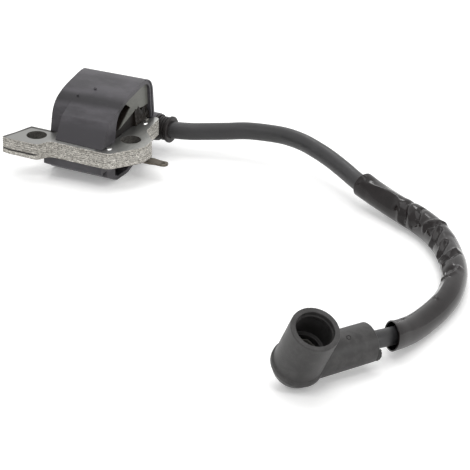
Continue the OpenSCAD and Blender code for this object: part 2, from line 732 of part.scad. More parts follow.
module plug_spring() {
    color([0.75, 0.74, 0.7]) at_elbow() union() {
        swept_rod(spring_path, spring_wire / 2, 6);
        translate([0, 0, spring_base]) rotate([0, 90, 0])
            cylinder(d = spring_wire, h = spring_d / 2, $fn = 16);
        cylinder(d = spring_wire, h = spring_base, $fn = 16);
        translate([0, 0, spring_base]) sphere(d = spring_wire, $fn = 16);
        sphere(d = spring_wire, $fn = 16);
        rotate([0, 90, 0]) cylinder(d = spring_wire, h = prong_len, $fn = 16);
    }
}

module coil_frame() {
    translate(origin_shift) children();
}

coil_frame() core_laminations();
coil_frame() core_bottom_sheets();
coil_frame() core_rivets();
coil_frame() coil_case();
coil_frame() potting_resin();
coil_frame() primary_bobbin();
coil_frame() primary_winding();
coil_frame() secondary_bobbin();
coil_frame() secondary_winding();
coil_frame() circuit_board();
coil_frame() power_transistor();
coil_frame() control_chip();
coil_frame() storage_capacitor();
coil_frame() board_resistors();
coil_frame() rectifier_diode();
coil_frame() primary_leads();
coil_frame() ground_strap();
coil_frame() kill_terminal();
coil_frame() hv_contact_pin();
coil_frame() lead_gland();
coil_frame() lead_jacket();
coil_frame() lead_conductor();
coil_frame() protective_sleeve();
coil_frame() plug_boot();
coil_frame() plug_spring();
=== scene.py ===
"""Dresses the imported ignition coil: its finishes, lead, loose sleeve, plug boot and studio."""

import json
import logging
import math
from collections.abc import Callable, Sequence
from dataclasses import dataclass, field
from enum import Enum

import bmesh
import bpy
import numpy as np
from mathutils import Matrix, Vector, noise


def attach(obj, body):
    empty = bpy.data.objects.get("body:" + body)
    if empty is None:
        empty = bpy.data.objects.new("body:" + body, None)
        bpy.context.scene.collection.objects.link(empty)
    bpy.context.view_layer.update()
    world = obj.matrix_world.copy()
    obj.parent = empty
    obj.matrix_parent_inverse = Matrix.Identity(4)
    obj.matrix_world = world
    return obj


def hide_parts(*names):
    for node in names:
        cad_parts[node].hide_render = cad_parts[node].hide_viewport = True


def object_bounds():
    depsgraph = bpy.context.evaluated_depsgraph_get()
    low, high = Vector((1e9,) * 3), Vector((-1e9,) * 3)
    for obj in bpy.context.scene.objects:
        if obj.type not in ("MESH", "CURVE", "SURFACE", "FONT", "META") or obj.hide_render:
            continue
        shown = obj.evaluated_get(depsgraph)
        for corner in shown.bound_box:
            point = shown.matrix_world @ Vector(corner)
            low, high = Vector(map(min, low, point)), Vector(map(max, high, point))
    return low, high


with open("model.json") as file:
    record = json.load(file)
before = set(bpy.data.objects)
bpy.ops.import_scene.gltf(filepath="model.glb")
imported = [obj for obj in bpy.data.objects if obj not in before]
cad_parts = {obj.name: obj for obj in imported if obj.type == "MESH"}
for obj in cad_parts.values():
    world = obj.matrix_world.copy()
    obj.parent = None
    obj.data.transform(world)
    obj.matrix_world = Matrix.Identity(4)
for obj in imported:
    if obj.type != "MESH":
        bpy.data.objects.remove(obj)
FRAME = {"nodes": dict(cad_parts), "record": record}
CAD_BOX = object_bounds()
LOG = logging.getLogger("ignition_coil")
BODY = "root"
MM = 0.001

Rgb = tuple[float, float, float]
Ring = list[Vector]


# ---- Places, taken from the frame ----


def mount(name: str) -> dict:
    """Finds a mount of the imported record.

    Args:
        name: The mount's name.

    Returns:
        The mount as the record states it.
    """
    return next(m for m in FRAME["record"]["mounts"] if m["name"] == name)


LEFT_HOLE = mount("left_mounting_hole")
RIGHT_HOLE = mount("right_mounting_hole")
PLUG_SOCKET = mount("plug_socket")
STACK_T = LEFT_HOLE["dims"]["length_mm"] * MM
COIL_ORIGIN = Vector(LEFT_HOLE["pos_m"]) + Vector((0, 0, STACK_T / 2))
SOCKET_AXIS = Vector(PLUG_SOCKET["axis"]).normalized()
SOCKET_ABOVE_ELBOW = 16.15 * MM
ELBOW = Vector(PLUG_SOCKET["pos_m"]) - SOCKET_AXIS * SOCKET_ABOVE_ELBOW

# The boot's arm, from its elbow
ARM_AXIS = Vector((0.4786, 0.8779, 0.0175)).normalized()
ARM_LEN = 31.8 * MM
LEAD_STOP = 12 * MM

# The lead's route in the coil's own frame, in metres, from inside the gland to the boot
FREE_ROUTE = (
    (0.0171, 0.0446, -0.0068), (0.0305, 0.0446, -0.0068), (0.037, 0.0446, -0.0068),
    (0.0435, 0.0464, -0.0068), (0.0485, 0.0484, -0.0066), (0.058, 0.0516, -0.0057),
    (0.0675, 0.0542, -0.0046), (0.081, 0.0546, -0.0036), (0.0915, 0.0522, -0.0032),
    (0.1, 0.049, -0.0036), (0.1085, 0.0456, -0.0047), (0.117, 0.0416, -0.0062),
    (0.125, 0.0374, -0.0076), (0.1346, 0.0332, -0.0094), (0.1444, 0.029, -0.0108),
    (0.1528, 0.0254, -0.0115), (0.1615, 0.0216, -0.0119), (0.17, 0.0162, -0.012),
    (0.178, 0.009, -0.012), (0.185, 0.0008, -0.012), (0.192, -0.0096, -0.012),
    (0.197, -0.02, -0.012), (0.201, -0.032, -0.012), (0.203, -0.044, -0.012),
    (0.2036, -0.056, -0.0118), (0.2036, -0.066, -0.0112), (0.2032, -0.075, -0.0098),
    (0.2026, -0.082, -0.0082),
)


def at_coil(x: float, y: float, z: float) -> Vector:
    """Turns a place in the coil's own frame, in mm, into the row frame, in metres."""
    return COIL_ORIGIN + Vector((x, y, z)) * MM


def lead_route() -> Ring:
    """Joins the free route to the stretch inside the boot's arm, in the row frame."""
    free = [COIL_ORIGIN + Vector(p) for p in FREE_ROUTE]
    return free + [ELBOW + ARM_AXIS * d for d in (ARM_LEN + 3 * MM, ARM_LEN, LEAD_STOP)]


def on_curve(points: Ring, place: float) -> Vector:
    """Finds a point on the smooth curve through a route's points.

    Args:
        points: The route.
        place: The place along it, counted in points.

    Returns:
        The point.
    """
    i = min(int(place), len(points) - 2)
    t = place - i
    a, b, c, d = (points[min(max(k, 0), len(points) - 1)] for k in range(i - 1, i + 3))
    return 0.5 * (2 * b + (c - a) * t + (2 * a - 5 * b + 4 * c - d) * t**2 + (3 * (b - c) + d - a) * t**3)


def stretch(points: Ring, first: float, last: float, step: float) -> Ring:
    """Walks a stretch of the smooth curve in equal steps.

    Args:
        points: The route.
        first: Where the stretch starts, counted in points.
        last: Where it ends.
        step: The longest step, in metres.

    Returns:
        Points an equal way apart along the curve.
    """
    fine = [on_curve(points, first + (last - first) * k / 2000) for k in range(2001)]
    along = [0.0]
    for a, b in zip(fine, fine[1:]):
        along.append(along[-1] + (b - a).length)
    count = math.ceil(along[-1] / step)
    walked, k = [], 0
    for i in range(count + 1):
        goal = along[-1] * i / count
        while k < len(fine) - 2 and along[k + 1] < goal:
            k += 1
        walked.append(fine[k].lerp(fine[k + 1], (goal - along[k]) / (along[k + 1] - along[k])))
    return walked


def length_of(path: Ring) -> float:
    """Adds up the length of a path."""
    return sum((b - a).length for a, b in zip(path, path[1:]))


# ---- Shader maths ----


class Signal:
    """A value, colour or vector that varies over a surface; arithmetic on a value adds Math nodes."""

    def __init__(self, net: "NodeTree", socket: bpy.types.NodeSocket) -> None:
        """Wraps a socket of a tree."""
        self.net = net
        self.socket = socket

    def math(self, operation: str, *values: "Signal | float") -> "Signal":
        """Adds one Math node.

        Args:
            operation: Blender's name for the operation.
            values: Its inputs, in order.

        Returns:
            The node's result.
        """
        return self.net.signal("ShaderNodeMath", {"operation": operation}, dict(enumerate(values)))

    def __add__(self, other: "Signal | float") -> "Signal":
        """Adds."""
        return self.math("ADD", self, other)

    def __sub__(self, other: "Signal | float") -> "Signal":
        """Subtracts."""
        return self.math("SUBTRACT", self, other)

    def __rsub__(self, other: float) -> "Signal":
        """Subtracts from a number."""
        return self.math("SUBTRACT", other, self)

    def __mul__(self, other: "Signal | float") -> "Signal":
        """Multiplies."""
        return self.math("MULTIPLY", self, other)

    def __truediv__(self, other: "Signal | float") -> "Signal":
        """Divides."""
        return self.math("DIVIDE", self, other)

    __radd__ = __add__
    __rmul__ = __mul__

    def floor(self) -> "Signal":
        """Rounds down."""
        return self.math("FLOOR", self)

    def fraction(self) -> "Signal":
        """Keeps what is past the whole number."""
        return self.math("FRACT", self)

    def size(self) -> "Signal":
        """Drops the sign."""
        return self.math("ABSOLUTE", self)

    def smaller(self, other: "Signal | float") -> "Signal":
        """Keeps the smaller value."""
        return self.math("MINIMUM", self, other)

    def larger(self, other: "Signal | float") -> "Signal":
        """Keeps the larger value."""
        return self.math("MAXIMUM", self, other)

    def step(self, low: float, high: float) -> "Signal":
        """Goes smoothly from 0 at low to 1 at high.

        Args:
            low: Where it starts to rise.
            high: Where it is full.

        Returns:
            The mask.
        """
        inputs = {"Value": self, "From Min": low, "From Max": high}
        return self.net.signal("ShaderNodeMapRange", {"interpolation_type": "SMOOTHSTEP"}, inputs, "Result")


class NodeTree:
    """A node tree to which nodes are added."""

    def __init__(self, tree: bpy.types.NodeTree) -> None:
        """Wraps a tree."""
        self.tree = tree

    def node(self, kind: str, settings: dict | None = None, inputs: dict | None = None) -> bpy.types.Node:
        """Adds a node.

        Args:
            kind: Blender's name for the node's type.
            settings: Its own settings, which are set first.
            inputs: A value or a signal for each socket, by name or number.

        Returns:
            The node.
        """
        made = self.tree.nodes.new(kind)
        for key, value in (settings or {}).items():
            setattr(made, key, value)
        for key, value in (inputs or {}).items():
            self.feed(made.inputs[key], value)
        return made

    def feed(self, socket: bpy.types.NodeSocket, value: "Signal | float | Sequence[float]") -> None:
        """Links a signal to a socket, or sets its value.

        Args:
            socket: The socket.
            value: A signal, a number, or three of them.
        """
        if isinstance(value, Signal):
            self.tree.links.new(value.socket, socket)
        elif isinstance(value, (int, float)):
            socket.default_value = value
        else:
            socket.default_value = (*value, 1) if socket.type == "RGBA" else value

    def signal(self, kind: str, settings: dict | None = None, inputs: dict | None = None,
               output: "str | int" = 0) -> Signal:
        """Adds a node and takes one of its outputs.

        Args:
            kind: Blender's name for the node's type.
            settings: Its own settings.
            inputs: A value or a signal for each socket.
            output: The output's name or number.

        Returns:
            The output.
        """
        return Signal(self, self.node(kind, settings, inputs).outputs[output])

    def background_rays(self) -> Signal:
        """Marks the rays that show the background: from the camera, off metal and through glass.

        Returns:
            1 on those rays and 0 on the others.
        """
        names = ("Is Camera Ray", "Is Glossy Ray", "Is Transmission Ray")
        seen, mirrored, passed = (self.signal("ShaderNodeLightPath", output=name) for name in names)
        return seen.larger(mirrored.larger(passed))


class Net(NodeTree):
    """The node tree of one material, with the part's own millimetres as its coordinates."""

    def __init__(self, name: str) -> None:
        """Makes an empty finish.

        Args:
            name: The finish's name.
        """
        self.material = bpy.data.materials.new(f"{name}_finish")
        self.material.use_nodes = True
        super().__init__(self.material.node_tree)
        self.shader = self.tree.nodes["Principled BSDF"]
        metres = self.signal("ShaderNodeTexCoord", output="Object")
        scaled = {0: metres, "Scale": 1 / MM}
        self.place = self.signal("ShaderNodeVectorMath", {"operation": "SCALE"}, scaled)
        self.facing = self.signal("ShaderNodeTexCoord", output="Normal")

    def spread(self, times: Sequence[float]) -> Signal:
        """Scales the coordinates, by a factor for each axis."""
        return self.signal("ShaderNodeVectorMath", {"operation": "MULTIPLY"}, {0: self.place, 1: times})

    def grain(self, per_mm: float, detail: float = 2, rough: float = 0.5,
              times: Sequence[float] = (1, 1, 1)) -> Signal:
        """Makes a noise from 0 to 1.

        Args:
            per_mm: How many features there are in a millimetre.
            detail: How many finer layers it has.
            rough: How strong those layers are.
            times: A factor for each axis.

        Returns:
            The noise.
        """
        inputs = {"Vector": self.spread(times), "Scale": per_mm, "Detail": detail, "Roughness": rough}
        return self.signal("ShaderNodeTexNoise", None, inputs)

    def cells(self, per_mm: float, times: Sequence[float] = (1, 1, 1)) -> Signal:
        """Makes the distance to scattered points.

        Args:
            per_mm: How many points there are in a millimetre.
            times: A factor for each axis.

        Returns:
            The distance, about 0 to 1.
        """
        inputs = {"Vector": self.spread(times), "Scale": per_mm}
        return self.signal("ShaderNodeTexVoronoi", None, inputs, "Distance")

    def chance(self, value: Signal) -> Signal:
        """Gives each value a number of its own, from 0 to 1."""
        return self.signal("ShaderNodeTexWhiteNoise", {"noise_dimensions": "1D"}, {"W": value}, "Value")

    def axis(self, vector: Signal, name: str) -> Signal:
        """Takes one axis of a vector."""
        return self.signal("ShaderNodeSeparateXYZ", None, {0: vector}, name)

    def row(self, name: str) -> Signal:
        """Gives the X, Y or Z place in the row frame, in mm."""
        return self.axis(self.place, name)

    def own(self, name: str) -> Signal:
        """Gives the X, Y or Z place in the coil's own frame, in mm."""
        return self.row(name) - COIL_ORIGIN["XYZ".index(name)] / MM

    def blend(self, mask: "Signal | float", low: "Signal | Rgb", high: "Signal | Rgb") -> Signal:
        """Mixes two colours.

        Args:
            mask: 0 gives the first colour and 1 the second.
            low: The first colour.
            high: The second colour.

        Returns:
            The mixed colour.
        """
        return self.signal("ShaderNodeMix", {"data_type": "RGBA"}, {0: mask, 6: low, 7: high}, 2)

    def relief(self, height: Signal, depth: float) -> Signal:
        """Turns heights into a surface normal.

        Args:
            height: The height, from 0 to 1.
            depth: What 1 stands for, in millimetres.

        Returns:
            The normal.
        """
        return self.signal("ShaderNodeBump", None, {"Height": height, "Distance": depth * MM})

    def done(self, **sockets: "Signal | float | Rgb") -> bpy.types.Material:
        """Sets the shader's sockets.

        Args:
            sockets: Each socket's name, with _ for a space, and its value or signal.

        Returns:
            The finished material.
        """
        for key, value in sockets.items():
            self.feed(self.shader.inputs[key.replace("_", " ")], value)
        return self.material


def dimmed(colour: Rgb, share: float) -> Rgb:
    """Scales a colour's light."""
    return tuple(share * c for c in colour)


# ---- Finishes ----


@dataclass(frozen=True)
class Moulding:
    """Moulded plastic or resin: faint flow marks, fine grain, a few scuffs and, where given, stripes of
    painted shade.
    """

    name: str
    colour: Rgb
    roughness: float = 0.42
    flow: float = 0.25
    scuffs: float = 0.5
    grain_mm: float = 0.012
    shine: float = 0.5
    # Stripes of painted shade: a place across the coil and a width, in mm, and a share of tone
    shade_bands: tuple[tuple[float, float, float], ...] = ()

    def tint(self, net: Net, tone: Signal) -> Signal:
        """Darkens stripes of painted shade, each of which is a place across the coil and a width, in mm,
        and a share of tone.

        Args:
            net: The material's nodes.
            tone: The even colour.

        Returns:
            The colour with its painted shade.
        """
        across = net.own("Y") + 1.2 * (net.grain(0.1, 2) - 0.5)
        for centre, width, share in self.shade_bands:
            inside = 1 - (across - centre).size().step(0.2 * width, width)
            tone = net.blend(inside, tone, dimmed(self.colour, share))
        return tone

    def make(self) -> bpy.types.Material:
        """Builds the material.

        Returns:
            The material.
        """
        net = Net(self.name)
        flow = net.grain(0.16, 3, 0.6, (0.5, 1, 1.6))
        fine = net.grain(7, 2)
        worn = net.grain(1.1, 5, 0.75, (0.35, 1, 1)).step(0.6, 0.74) * net.grain(0.22, 1).step(0.42, 0.62)
        low, high = (dimmed(self.colour, 1 + sign * self.flow) for sign in (-1, 1))
        tone = net.blend(flow.step(0.3, 0.7), low, high)
        pale = tuple(0.06 + 1.5 * c for c in self.colour)
        return net.done(
            Base_Color=net.blend(worn * self.scuffs * 0.5, self.tint(net, tone), pale),
            Roughness=self.roughness + 0.12 * (flow - 0.5) + 0.2 * worn,
            Normal=net.relief(fine + 0.8 * worn + 1.5 * net.grain(0.5, 2), self.grain_mm),
            Specular_IOR_Level=self.shine,
        )


@dataclass(frozen=True)
class Potting(Moulding):
    """Cast resin, darkened with painted shade where it lies far back in the mouth."""

    face_x: float = 29.8
    # The colour of the painted shade behind the resin's front face
    recess_shade: Rgb = (0.016, 0.012, 0.01)

    def tint(self, net: Net, tone: Signal) -> Signal:
        """Darkens the resin behind its front face with painted shade.

        Args:
            net: The material's nodes.
            tone: The even colour.

        Returns:
            The colour with painted shade in its hollows.
        """
        behind = self.face_x - net.own("X")
        return net.blend(behind.step(0.1, 0.7), tone, self.recess_shade)


@dataclass(frozen=True)
class SheetStack:
    """Stamped steel sheets: varnished on top, and torn and burnished along their cut edges, with painted
    light, shade and glints.

    Places and sizes are in mm, in the coil's own frame.
    """

    name: str
    top: Rgb
    dark: Rgb
    light: Rgb
    sheet_mm: float = 0.45
    pole_tip: tuple[float, float] = (-11.4, -7.6)
    pole_heel: tuple[float, float] = (-6.4, 6.5)
    # Width of the painted shade along the top's back edges, and where along X it fades out
    edge_shade_mm: float = 1.4
    edge_shade_end: tuple[float, float] = (4, 6)
    # Height of the slit, the half-width of its painted shade, and where it ends along X
    slit_down: float = 4.85
    slit_half: tuple[float, float] = (0.2, 0.42)
    slit_end: tuple[float, float] = (3.4, 4.6)
    # Where past the holes' radius the painted shade on their walls fades out
    bore_edge: tuple[float, float] = (0.05, 0.25)
    # Shares of the top's colour left and right of the case, which paint light on the right and shade on the
    # left, and the places along X that bound them
    light_and_shade_shares: tuple[float, float] = (0.66, 1.6)
    case_span: tuple[float, float] = (6, 14)
    # Where the painted shade on the top by the mouth starts, is full, fades and ends, along X
    mouth_shade_span: tuple[float, float, float, float] = (28, 29.5, 32, 37)

    def edge_shade(self, net: Net) -> Signal:
        """Marks painted shade on top along the pole face and the back of the lug, standing in for the
        shading of their rolled edges.

        Args:
            net: The material's nodes.

        Returns:
            The mask.
        """
        x, y = net.own("X"), net.own("Y")
        run, rise = (b - a for a, b in zip(self.pole_tip, self.pole_heel))
        length = math.hypot(run, rise)
        from_face = (x - self.pole_tip[0]) * (rise / length) - (y - self.pole_tip[1]) * (run / length)
        from_back = (self.pole_heel[1] - y).size()
        near = 1 - from_face.smaller(from_back).step(0.75 * self.edge_shade_mm, 1.1 * self.edge_shade_mm)
        return near * (1 - x.step(*self.edge_shade_end))

    def slit_shade(self, net: Net) -> Signal:
        """Marks painted shade along the slit in the lug where the bottom sheets stand apart.

        Args:
            net: The material's nodes.

        Returns:
            The mask.
        """
        above = (net.own("Z") + self.slit_down).size()
        return (1 - above.step(*self.slit_half)) * (1 - net.own("X").step(*self.slit_end))

    def bores(self, net: Net) -> Signal:
        """Marks the walls of the two mounting holes, which are painted dark as painted shade.

        Args:
            net: The material's nodes.

        Returns:
            The mask.
        """
        walls = []
        for hole in (LEFT_HOLE, RIGHT_HOLE):
            dx, dy = (net.row(name) - centre / MM for name, centre in zip("XY", hole["pos_m"]))
            low, high = ((hole["dims"]["r_mm"] + more) ** 2 for more in self.bore_edge)
            walls.append(1 - (dx * dx + dy * dy).step(low, high))
        return walls[0] + walls[1]

    def top_face(self, net: Net, smear: Signal) -> Signal:
        """Colours the varnished top, with painted light right of the case, painted shade left of it,
        painted shade by the mouth and painted shade along the back edges.

        Args:
            net: The material's nodes.
            smear: The varnish's unevenness.

        Returns:
            The colour.
        """
        along = net.own("X") + 1.5 * smear
        left, right = (dimmed(self.top, share) for share in self.light_and_shade_shares)
        face = net.blend(1 - along.step(*self.case_span), right, left)
        face = net.blend(smear.step(0.3, 0.72) * 0.3, face, dimmed(self.top, 0.6))
        # Painted shade on the top by the mouth
        starts, full, fades, ends = self.mouth_shade_span
        mouth_shade = (along - starts).step(0, full - starts) * (1 - along.step(fades, ends))
        face = net.blend(0.7 * mouth_shade, face, dimmed(self.top, 0.25))
        return net.blend(self.edge_shade(net), face, dimmed(self.dark, 0.15))

    def make(self) -> bpy.types.Material:
        """Builds the material.

        Returns:
            The material.
        """
        net = Net(self.name)
        level = net.own("Z") / self.sheet_mm
        wobble = 0.35 * (net.grain(0.9, 2, 0.5, (1, 1, 0.4)) - 0.5)
        within = (level + wobble).fraction()
        seam = 1 - within.step(0.0, 0.22) * (1 - within.step(0.86, 1.0))
        torn = net.grain(1.15, 5, 0.8, (0.7, 0.7, 2.2)).step(0.43, 0.57)
        pits = net.grain(1.5, 3, 0.75, (1, 1, 1.2)).step(0.56, 0.63)
        # Bright specks on the cut edges are painted glints
        glint_specks = (1 - net.cells(1.2).step(0.14, 0.26)) * net.grain(0.6, 1).step(0.45, 0.55)
        sheet = net.chance(level.floor())
        flat = net.axis(net.facing, "Z").size().step(0.55, 0.8)
        smear = net.grain(0.5, 3, 0.6, (1.4, 0.5, 1))
        bright = torn * 0.75 + sheet * 0.25
        cut = net.blend(seam * 0.75, net.blend(bright, self.dark, self.light), dimmed(self.dark, 0.3))
        cut = net.blend(glint_specks, net.blend(pits * 0.7, cut, dimmed(self.dark, 0.2)), dimmed(self.light, 1.2))
        # Painted shade on the walls of the mounting holes
        cut = net.blend(self.bores(net) * 0.85, cut, dimmed(self.dark, 0.15))
        # Painted shade in the slit
        cut = net.blend(self.slit_shade(net) * 0.95, cut, dimmed(self.dark, 0.08))
        height = (1 - flat) * (torn * 0.7 - seam - 0.8 * pits) + 0.05 * smear + 0.06 * net.grain(3, 2)
        return net.done(
            Base_Color=net.blend(flat, cut, self.top_face(net, smear)),
            Metallic=0.3 + 0.52 * flat,
            Roughness=0.26 + 0.1 * smear + (1 - flat) * (0.26 + 0.12 * torn),
            Normal=net.relief(height, 0.09),
        )


@dataclass(frozen=True)
class Rubber:
    """Rubber or soft vinyl: a fine skin, a bloom of paler patches and dust specks."""

    name: str
    colour: Rgb
    roughness: float
    bloom: float
    skin_mm: float = 0.01
    shine: float = 0.5

    def make(self) -> bpy.types.Material:
        """Builds the material.

        Returns:
            The material.
        """
        net = Net(self.name)
        patch = net.grain(0.2, 4, 0.65).step(0.38, 0.72)
        specks = 1 - net.cells(0.9).step(0.05, 0.1)
        dust = specks * net.grain(0.3, 1).step(0.5, 0.6)
        fine = net.grain(5, 3, 0.6)
        low, high = (dimmed(self.colour, share) for share in (1 - 0.5 * self.bloom, 1 + self.bloom))
        tone = net.blend(patch, low, high)
        return net.done(
            Base_Color=net.blend(dust * 0.35, tone, tuple(0.1 + c for c in self.colour)),
            Roughness=self.roughness + 0.14 * (patch - 0.5) + 0.08 * (fine - 0.5),
            Normal=net.relief(fine + 0.8 * net.grain(0.8, 2) + dust, self.skin_mm),
            Specular_IOR_Level=self.shine,
        )


@dataclass(frozen=True)
class Metal:
    """Drawn, plated or tinned metal with fine lines and stains."""

    name: str
    colour: Rgb
    roughness: float = 0.35
    stain: Rgb = (0.12, 0.1, 0.08)
    stained: float = 0.4
    lines: tuple[float, float, float] = (0.25, 3, 1)

    def make(self) -> bpy.types.Material:
        """Builds the material.

        Returns:
            The material.
        """
        net = Net(self.name)
        drawn = net.grain(2.2, 3, 0.6, self.lines)
        spots = net.grain(0.8, 5, 0.7).step(0.5, 0.72)
        tone = net.blend(drawn, dimmed(self.colour, 0.82), dimmed(self.colour, 1.12))
        return net.done(
            Base_Color=net.blend(spots * self.stained, tone, self.stain),
            Metallic=1 - 0.35 * self.stained * spots,
            Roughness=self.roughness + 0.15 * (drawn - 0.5) + 0.25 * self.stained * spots,
            Normal=net.relief(drawn + 0.6 * spots, 0.015),
        )


@dataclass(frozen=True)
class Winding:
    """Enamelled wire wound side by side along the barrel."""

    name: str
    colour: Rgb
    wire_mm: float

    def make(self) -> bpy.types.Material:
        """Builds the material.

        Returns:
            The material.
        """
        net = Net(self.name)
        turn = (net.row("X") / self.wire_mm).fraction() - 0.5
        crown = 1 - 4 * turn * turn
        uneven = net.grain(0.7, 3)
        return net.done(
            # The grooves between turns are painted darker as painted shade
            Base_Color=net.blend(crown.step(0.1, 0.9), dimmed(self.colour, 0.3), self.colour),
            Metallic=0.8,
            Roughness=0.25 + 0.15 * uneven,
            Normal=net.relief(crown + 0.2 * uneven, self.wire_mm / 3),
        )


@dataclass(frozen=True)
class FibreBoard:
    """Lacquered glass fibre board with its weave showing through."""

    name: str
    colour: Rgb
    thread_mm: float = 0.5

    def make(self) -> bpy.types.Material:
        """Builds the material.

        Returns:
            The material.
        """
        net = Net(self.name)
        warp, weft = ((net.row(name) / self.thread_mm).fraction() - 0.5 for name in "XY")
        weave = warp.size() + weft.size()
        return net.done(
            Base_Color=net.blend(weave.step(0.2, 0.8), dimmed(self.colour, 0.8), dimmed(self.colour, 1.3)),
            Roughness=0.3 + 0.1 * net.grain(0.4, 2),
            Normal=net.relief(weave, 0.02),
        )


class Finish(Enum):
    """The part's finishes, each with the record's slot it belongs to."""

    CORE = "core_steel", SheetStack(
        "core_steel", (0.38, 0.38, 0.365), (0.25, 0.234, 0.204), (0.84, 0.81, 0.75))
    RIVET = "rivet_steel", Metal("rivet_steel", (0.85, 0.85, 0.83), 0.22, stained=0.1)
    # The case's stripes are painted shade: a dark reflection at Y 14 mm and a fainter darkening at Y 1 mm
    CASE = "case_plastic", Moulding(
        "case_plastic", (0.06, 0.0565, 0.063), 0.42, shine=0.3, shade_bands=((14, 4, 0.4), (1, 4, 0.7)))
    GLAND = "case_plastic", Moulding("gland_plastic", (0.024, 0.021, 0.0205), 0.4, shine=0.22)
    COMPOUND = "resin", Moulding(
        "mouth_compound", (0.013, 0.01, 0.008), 0.5, flow=0.5, scuffs=0.1, shine=0.2)
    RESIN = "resin", Potting("resin", (0.128, 0.129, 0.115), 0.4, 0.12, 0.3, 0.02, 0.3)
    BOBBIN = "bobbin_black", Moulding("bobbin_black", (0.012, 0.01, 0.009), 0.42, scuffs=0.2, shine=0.2)
    NATURAL = "bobbin_natural", Moulding("bobbin_natural", (0.7, 0.65, 0.5), 0.45, flow=0.06, scuffs=0.1)
    THICK_WIRE = "copper", Winding("thick_copper", (0.62, 0.27, 0.11), 0.5)
    FINE_WIRE = "copper", Winding("fine_copper", (0.5, 0.2, 0.08), 0.12)
    COPPER = "copper", Metal("bare_copper", (0.75, 0.38, 0.2), 0.3, stained=0.25)
    BOARD = "board", FibreBoard("board", (0.05, 0.16, 0.07))
    COMPONENT = "component_black", Moulding("component_black", (0.03, 0.03, 0.03), 0.5, grain_mm=0.02)
    FILM = "capacitor_film", Moulding("capacitor_film", (0.5, 0.3, 0.06), 0.25, flow=0.1, scuffs=0.1)
    TINNED = "tinned_metal", Metal("tinned_metal", (0.62, 0.6, 0.56), 0.4)
    TERMINAL = "terminal_metal", Metal(
        "terminal_metal", (0.13, 0.115, 0.095), 0.42, (0.03, 0.025, 0.02), 0.7, (0.3, 3, 3))
    BRASS = "contact_brass", Metal("contact_brass", (0.7, 0.5, 0.24), 0.3)
    LEAD = "lead_rubber", Rubber("lead_rubber", (0.029, 0.0285, 0.0295), 0.42, 0.12, shine=0.38)
    SLEEVE = "sleeve_vinyl", Rubber("sleeve_vinyl", (0.011, 0.0085, 0.0085), 0.18, 0.2, 0.004, 0.25)
    BOOT = "boot_rubber", Rubber("boot_rubber", (0.042, 0.0405, 0.04), 0.5, 0.4, 0.02, 0.3)
    # The ring mark's dark colour is painted shade standing in for a groove; the torn flash shares this
    # finish
    BOOT_MARK = "boot_rubber", Rubber("boot_rubber_dark", (0.011, 0.01, 0.01), 0.6, 0.2, 0.02)
    SPRING = "spring_steel", Metal("spring_steel", (0.35, 0.34, 0.32), 0.35)

    def material(self) -> bpy.types.Material:
        """Gives the finish's material, which is made once."""
        slot, recipe = self.value
        return bpy.data.materials.get(f"{recipe.name}_finish") or recipe.make()

    def dress(self, piece: bpy.types.Object) -> bpy.types.Object:
        """Gives a piece this finish.

        Args:
            piece: The piece or CAD node.

        Returns:
            The same piece.
        """
        piece.data.materials.clear()
        piece.data.materials.append(self.material())
        return piece


# ---- Meshes ----


def put(name: str, data: bpy.types.ID) -> bpy.types.Object:
    """Puts a mesh, a lamp or a camera into the scene.

    Args:
        name: The object's name.
        data: What it shows.

    Returns:
        The object.
    """
    made = bpy.data.objects.new(name, data)
    bpy.context.scene.collection.objects.link(made)
    return made


def add_piece(name: str, mesh: bmesh.types.BMesh, finish: Finish, smooth: float = 40) -> bpy.types.Object:
    """Turns a mesh into a piece that rides on the part.

    Args:
        name: The piece's name.
        mesh: Its mesh in the row frame, which is used up.
        finish: Its finish.
        smooth: The sharpest angle that is shaded smooth, in degrees.

    Returns:
        The piece.
    """
    bmesh.ops.recalc_face_normals(mesh, faces=mesh.faces)
    for face in mesh.faces:
        face.smooth = True
    for edge in mesh.edges:
        edge.smooth = len(edge.link_faces) == 2 and edge.calc_face_angle(0) < math.radians(smooth)
    data = bpy.data.meshes.new(name)
    mesh.to_mesh(data)
    mesh.free()
    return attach(finish.dress(put(name, data)), BODY)


def lattice(rings: Sequence[Ring], loop: bool = False) -> bmesh.types.BMesh:
    """Joins rings of points into a tube.

    Args:
        rings: The rings, with as many points each.
        loop: Whether the last ring joins the first. If not, both ends are closed.

    Returns:
        The mesh.
    """
    mesh = bmesh.new()
    rows = [[mesh.verts.new(p) for p in ring] for ring in rings]
    for a, b in zip(rows, rows[1:] + rows[:1] if loop else rows[1:]):
        for j in range(len(a)):
            k = (j + 1) % len(a)
            mesh.faces.new((a[j], a[k], b[k], b[j]))
    if not loop:
        mesh.faces.new(rows[0])
        mesh.faces.new(rows[-1][::-1])
    return mesh


def rings_along(path: Ring, sides: int, radius: Callable[[int, float], float]) -> list[Ring]:
    """Sets a ring square to a path at each of its points.

    Args:
        path: The path, which is never vertical.
        sides: How many points a ring has.
        radius: The radius at a ring's number and an angle, 0 on the path's right and a quarter turn on top.

    Returns:
        The rings.
    """
    rings = []
    for i, centre in enumerate(path):
        ahead = (path[min(i + 1, len(path) - 1)] - path[max(i - 1, 0)]).normalized()
        right = ahead.cross(Vector((0, 0, 1))).normalized()
        up = right.cross(ahead)
        angles = [math.tau * j / sides for j in range(sides)]
        rings.append([centre + radius(i, a) * (math.cos(a) * right + math.sin(a) * up) for a in angles])
    return rings


def turned(profile: Sequence[tuple[float, float]], sides: int, place: Matrix) -> bmesh.types.BMesh:
    """Turns a profile about the local Z axis.

    Args:
        profile: Radius and height of each corner, in millimetres. Its two ends lie on the axis.
        sides: How many sides the turned form has.
        place: Where it goes, in metres.

    Returns:
        The closed mesh.
    """
    turns = [(math.cos(math.tau * j / sides), math.sin(math.tau * j / sides)) for j in range(sides)]
    rings = [[place @ Vector((r * MM * c, r * MM * s, z * MM)) for c, s in turns] for r, z in profile]
    mesh = lattice(rings)
    bmesh.ops.remove_doubles(mesh, verts=mesh.verts, dist=1e-7)
    return mesh


